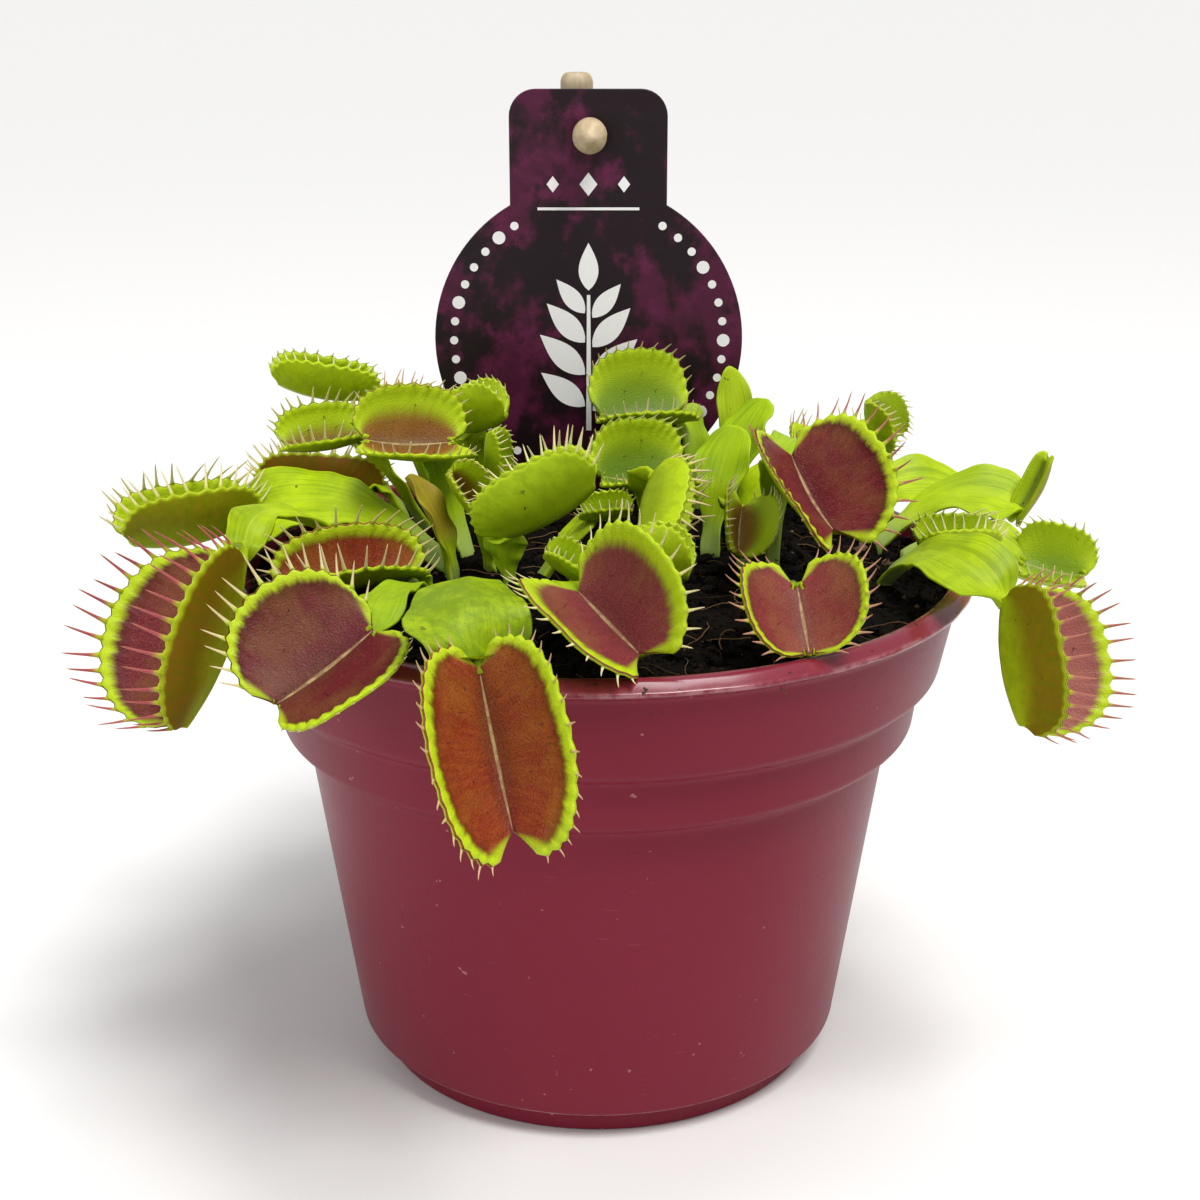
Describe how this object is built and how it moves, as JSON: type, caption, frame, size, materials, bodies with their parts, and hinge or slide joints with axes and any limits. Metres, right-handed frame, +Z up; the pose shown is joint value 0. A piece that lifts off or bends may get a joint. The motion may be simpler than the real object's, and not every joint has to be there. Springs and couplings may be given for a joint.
{
  "type": "potted venus flytrap",
  "caption": "Carnivorous plant with toothed hinged traps on flat stalks, rooted in dark soil in a round plastic nursery pot, with a blank-shaped plant label on a stick.",
  "frame": {"origin": "centre of the pot's footprint on the ground, which is also the bottom centre of the whole plant's bounding box", "axes": "+Z up along the pot's axis, +Y away from the viewer of the picture, +X to the viewer's right"},
  "size_m": [0.1185, 0.1315, 0.1174],
  "materials": {
    "pot": "satin burgundy moulded plastic",
    "soil": "crumbly dark peat",
    "leaf": "waxy green leaf with red inside the traps",
    "label": "printed card, satin",
    "stick": "bare pale wood"
  },
  "bodies": {
    "root": {"pot": "pot", "soil": "soil", "label": "label", "label_stick": "stick", "label_peg": "stick", "leaf_back_left_closed": "leaf", "leaf_back_left_low": "leaf", "leaf_back_left_open": "leaf", "leaf_back_lower": "leaf", "leaf_back_right": "leaf", "leaf_back_upper": "leaf", "leaf_blade_back": "leaf", "leaf_blade_middle": "leaf", "leaf_blade_right": "leaf", "leaf_blade_upper": "leaf", "leaf_centre_low": "leaf", "leaf_centre_side": "leaf", "leaf_far_right": "leaf", "leaf_front_hanging": "leaf", "leaf_front_right_open": "leaf", "leaf_left_closed": "leaf", "leaf_left_front": "leaf", "leaf_left_hanging": "leaf", "leaf_left_inner": "leaf", "leaf_left_small_closed": "leaf", "leaf_left_upper": "leaf", "leaf_middle_back": "leaf", "leaf_middle_blade": "leaf", "leaf_middle_closed": "leaf", "leaf_middle_small": "leaf", "leaf_middle_tiny": "leaf", "leaf_rear_hanging": "leaf", "leaf_rear_left": "leaf", "leaf_rear_middle": "leaf", "leaf_rear_right": "leaf", "leaf_right_behind": "leaf", "leaf_right_front": "leaf", "leaf_right_hanging": "leaf", "leaf_right_low": "leaf", "leaf_right_small": "leaf", "leaf_right_spear": "leaf", "leaf_right_upper": "leaf", "leaf_spear_left": "leaf"}
  },
  "joints": []
}
